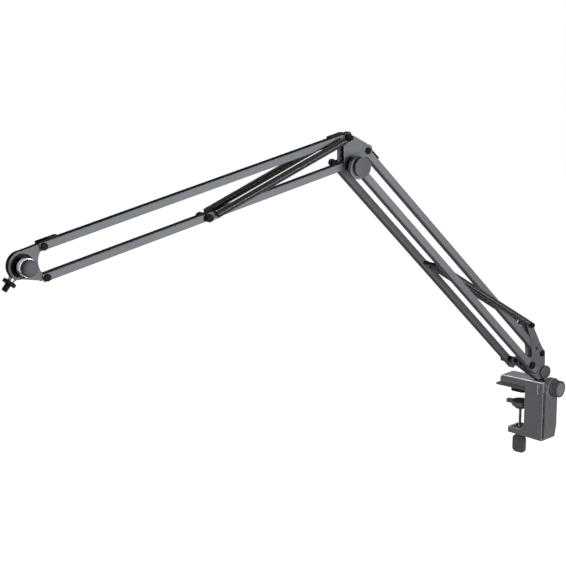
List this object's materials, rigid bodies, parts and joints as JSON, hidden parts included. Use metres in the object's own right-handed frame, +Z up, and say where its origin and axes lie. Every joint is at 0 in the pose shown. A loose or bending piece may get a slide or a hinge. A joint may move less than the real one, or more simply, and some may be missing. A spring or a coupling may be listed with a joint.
{
  "type": "microphone boom arm",
  "caption": "Sprung parallelogram boom arm with a desk clamp, swivel base, tension knobs and a tilting head with a threaded stud.",
  "frame": {"origin": "face of the upper jaw's pad, on the clamp screw's axis", "axes": "+Z up, arm points along -X, far side of the arm is +Y"},
  "size_m": [1.1171, 0.1363, 0.6433],
  "materials": {
    "cast_charcoal": "satin painted casting",
    "tube_black": "satin black tube",
    "bracket_black": "satin black sheet steel",
    "hardware_black": "blackened steel",
    "spring_black": "black spring wire",
    "knob_plastic": "matte dark grey plastic",
    "plug_plastic": "matte black plastic",
    "pad_rubber": "matte black rubber",
    "dark_steel": "dark plated steel",
    "light_metal": "light grey turned metal"
  },
  "bodies": {
    "clamp": {"clamp_body": "cast_charcoal", "jaw_plate": "knob_plastic", "jaw_pad": "pad_rubber", "swivel_washer": "plug_plastic"},
    "swivel_lock": {"swivel_lock_knob": "knob_plastic", "swivel_lock_screw": "hardware_black"},
    "clamp_plate": {"pressure_plate": "knob_plastic", "plate_pad": "pad_rubber"},
    "clamp_spindle": {"clamp_screw": "dark_steel", "screw_handle": "knob_plastic"},
    "base": {"swivel_post": "hardware_black", "base_bracket": "bracket_black", "base_axle": "hardware_black", "base_sleeves": "hardware_black", "base_link_pin": "hardware_black", "base_tie_bolt": "hardware_black", "base_spring_pins": "hardware_black"},
    "base_tension": {"base_knob": "knob_plastic", "base_knob_bolt": "hardware_black", "base_knob_nut": "hardware_black"},
    "lower_arm": {"near_lower_tube": "tube_black", "far_lower_tube": "tube_black", "near_lower_plug": "plug_plastic", "far_lower_plug": "plug_plastic", "lower_spring_pin": "hardware_black", "near_lower_spring": "spring_black", "far_lower_spring": "spring_black"},
    "lower_link": {"lower_link_tube": "tube_black", "link_plugs": "plug_plastic", "link_elbow_cap": "plug_plastic"},
    "elbow": {"elbow_bracket": "bracket_black", "elbow_axle": "hardware_black", "elbow_nut": "hardware_black", "elbow_sleeves": "hardware_black", "elbow_link_pin": "hardware_black", "elbow_top_pin": "hardware_black"},
    "elbow_tension": {"elbow_knob": "knob_plastic"},
    "forearm": {"forearm_lower_tube": "tube_black", "forearm_lower_plug": "plug_plastic", "forearm_spring_pin": "hardware_black", "near_forearm_spring": "spring_black", "far_forearm_spring": "spring_black"},
    "forearm_link": {"forearm_upper_tube": "tube_black", "forearm_upper_plug": "plug_plastic", "upper_elbow_cap": "plug_plastic", "upper_head_cap": "plug_plastic"},
    "head": {"head_bracket": "bracket_black", "head_lower_pin": "hardware_black", "head_upper_pin": "hardware_black"},
    "mic_holder": {"head_hub": "hardware_black", "head_collar": "light_metal", "mic_stub": "light_metal", "mic_stud": "hardware_black"},
    "head_tension": {"head_knob": "knob_plastic", "head_bolt": "hardware_black", "head_nut": "hardware_black"},
    "stud_nut": {"lock_nut": "hardware_black"}
  },
  "joints": [
    {"name": "base_swivel", "type": "hinge", "parent": "clamp", "child": "base", "pos_m": [0.00684, -0.0388, 0.03], "axis": [0, 0, 1], "continuous": true},
    {"name": "swivel_lock_turn", "type": "hinge", "parent": "clamp", "child": "swivel_lock", "pos_m": [0.01563, -0.08863, 0.019], "axis": [0.1736, -0.9848, 0], "continuous": true},
    {"name": "plate_travel", "type": "slide", "parent": "clamp", "child": "clamp_plate", "axis": [0, 0, 1], "range_m": [-0.036, 0.0055]},
    {"name": "screw_turn", "type": "hinge", "parent": "clamp_plate", "child": "clamp_spindle", "pos_m": [0, 0, -0.06], "axis": [0, 0, 1], "range_deg": [-6500, 1010]},
    {"name": "base_tension_turn", "type": "hinge", "parent": "base", "child": "base_tension", "pos_m": [0.00684, -0.0388, 0.0465], "axis": [0, -1, 0], "continuous": true},
    {"name": "lower_arm_swing", "type": "hinge", "parent": "base", "child": "lower_arm", "pos_m": [-0.05146, -0.0388, 0.0732], "axis": [0, 1, 0], "range_deg": [-25, 30], "deforming": ["near_lower_spring", "far_lower_spring"]},
    {"name": "lower_link_swing", "type": "hinge", "parent": "base", "child": "lower_link", "pos_m": [-0.01206, -0.0388, 0.0937], "axis": [0, 1, 0], "range_deg": [-26, 31]},
    {"name": "elbow_level", "type": "hinge", "parent": "lower_arm", "child": "elbow", "pos_m": [-0.46508, -0.0388, 0.46902], "axis": [0, 1, 0], "range_deg": [-31, 26]},
    {"name": "elbow_tension_turn", "type": "hinge", "parent": "elbow", "child": "elbow_tension", "pos_m": [-0.46508, -0.0388, 0.46902], "axis": [0, -1, 0], "continuous": true},
    {"name": "forearm_swing", "type": "hinge", "parent": "elbow", "child": "forearm", "pos_m": [-0.46508, -0.0388, 0.46902], "axis": [0, 1, 0], "range_deg": [-50, 40], "deforming": ["near_forearm_spring", "far_forearm_spring"]},
    {"name": "forearm_link_swing", "type": "hinge", "parent": "elbow", "child": "forearm_link", "pos_m": [-0.46868, -0.0388, 0.51422], "axis": [0, 1, 0], "range_deg": [-51, 41]},
    {"name": "head_level", "type": "hinge", "parent": "forearm", "child": "head", "pos_m": [-1.01812, -0.0388, 0.35147], "axis": [0, 1, 0], "range_deg": [-41, 51]},
    {"name": "head_tilt", "type": "hinge", "parent": "head", "child": "mic_holder", "pos_m": [-1.05573, -0.0388, 0.37227], "axis": [0, 1, 0], "range_deg": [-45, 13]},
    {"name": "head_tension_turn", "type": "hinge", "parent": "head", "child": "head_tension", "pos_m": [-1.05573, -0.0388, 0.37227], "axis": [0, -1, 0], "continuous": true},
    {"name": "stud_nut_turn", "type": "hinge", "parent": "mic_holder", "child": "stud_nut", "pos_m": [-1.07466, -0.0388, 0.34938], "axis": [-0.6374, 0, -0.7705], "continuous": true}
  ],
  "couplings": [
    {"joint": "lower_link_swing", "follows": "lower_arm_swing", "ratio": 1},
    {"joint": "elbow_level", "follows": "lower_arm_swing", "ratio": -1},
    {"joint": "forearm_link_swing", "follows": "forearm_swing", "ratio": 1},
    {"joint": "head_level", "follows": "forearm_swing", "ratio": -1},
    {"joint": "screw_turn", "follows": "plate_travel", "rad_per_m": 3141.6}
  ]
}
